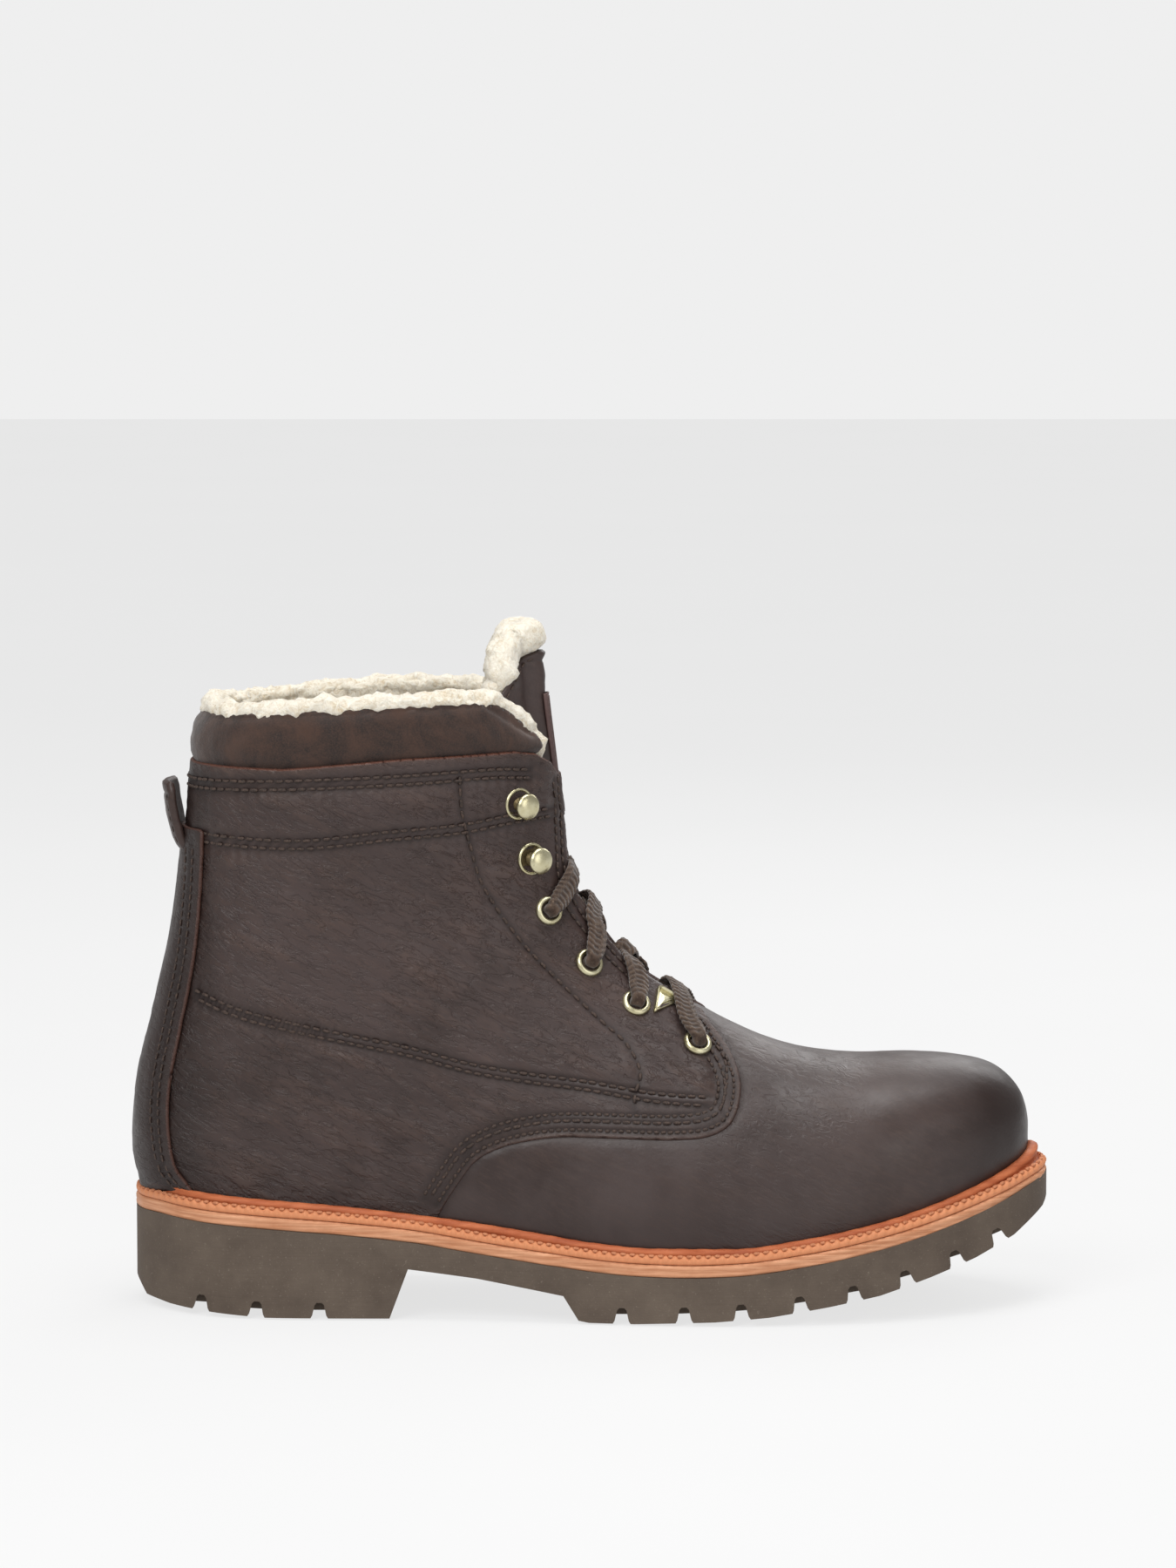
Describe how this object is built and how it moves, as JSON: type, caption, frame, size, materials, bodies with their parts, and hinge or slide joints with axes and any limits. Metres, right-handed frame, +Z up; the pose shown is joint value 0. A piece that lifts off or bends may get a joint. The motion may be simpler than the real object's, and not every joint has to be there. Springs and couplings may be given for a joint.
{
  "type": "lace-up winter boot",
  "caption": "Fleece-lined leather lace-up ankle boot with stitched lug sole, padded collar, tilting tongue, pull loop, eyelets and lace hooks.",
  "frame": {"origin": "centre of the bounding box's base, on the ground plane", "axes": "+X towards the toe, +Y towards the wearer's other foot (medial side of a right boot), +Z up"},
  "size_m": [0.3047, 0.1087, 0.2254],
  "materials": {
    "upper_leather": "oiled pull-up leather, semi-matt",
    "collar_suede": "waxed suede, matt",
    "label_leather": "embossed leather, semi-matt",
    "outsole_rubber": "matt lugged rubber",
    "sole_leather": "cut vegetable-tanned edge",
    "welt_leather": "dyed smooth welt",
    "fleece": "curly pile fleece",
    "lace_cord": "flat braided cord",
    "antique_brass": "aged, satin",
    "shank_steel": "spring steel",
    "cork": "pressed cork",
    "insole_board": "fibre board",
    "stiffener": "impregnated fibre sheet"
  },
  "bodies": {
    "boot": {"outsole": "outsole_rubber", "midsole": "sole_leather", "storm_welt": "welt_leather", "steel_shank": "shank_steel", "cork_filler": "cork", "insole_board": "insole_board", "footbed": "fleece", "quarter_lateral": "upper_leather", "quarter_medial": "upper_leather", "vamp": "upper_leather", "collar_pad": "collar_suede", "toe_puff": "stiffener", "heel_counter": "stiffener", "vamp_lining": "fleece", "shaft_lining": "fleece", "backstay": "upper_leather", "eyelet_lateral_1": "antique_brass", "eyelet_lateral_2": "antique_brass", "eyelet_lateral_3": "antique_brass", "eyelet_lateral_4": "antique_brass", "lace_hook_lateral_1": "antique_brass", "lace_hook_lateral_2": "antique_brass", "eyelet_medial_1": "antique_brass", "eyelet_medial_2": "antique_brass", "eyelet_medial_3": "antique_brass", "eyelet_medial_4": "antique_brass", "lace_hook_medial_1": "antique_brass", "lace_hook_medial_2": "antique_brass", "lace": "lace_cord", "badge_plate": "antique_brass"},
    "tongue": {"tongue_leather": "upper_leather", "tongue_fleece": "fleece", "tongue_label": "label_leather"},
    "pull_loop": {"pull_loop": "upper_leather"}
  },
  "joints": [
    {"name": "tongue_tilt", "type": "hinge", "parent": "boot", "child": "tongue", "pos_m": [0.034, 0, 0.091], "axis": [0, -1, 0], "range_deg": [0, 13]},
    {"name": "pull_loop_flip", "type": "hinge", "parent": "boot", "child": "pull_loop", "pos_m": [-0.1387, 0, 0.1534], "axis": [0, -1, 0], "range_deg": [0, 40], "stiffness_Nm_per_rad": 0.0006, "springref_deg": -3.44}
  ]
}
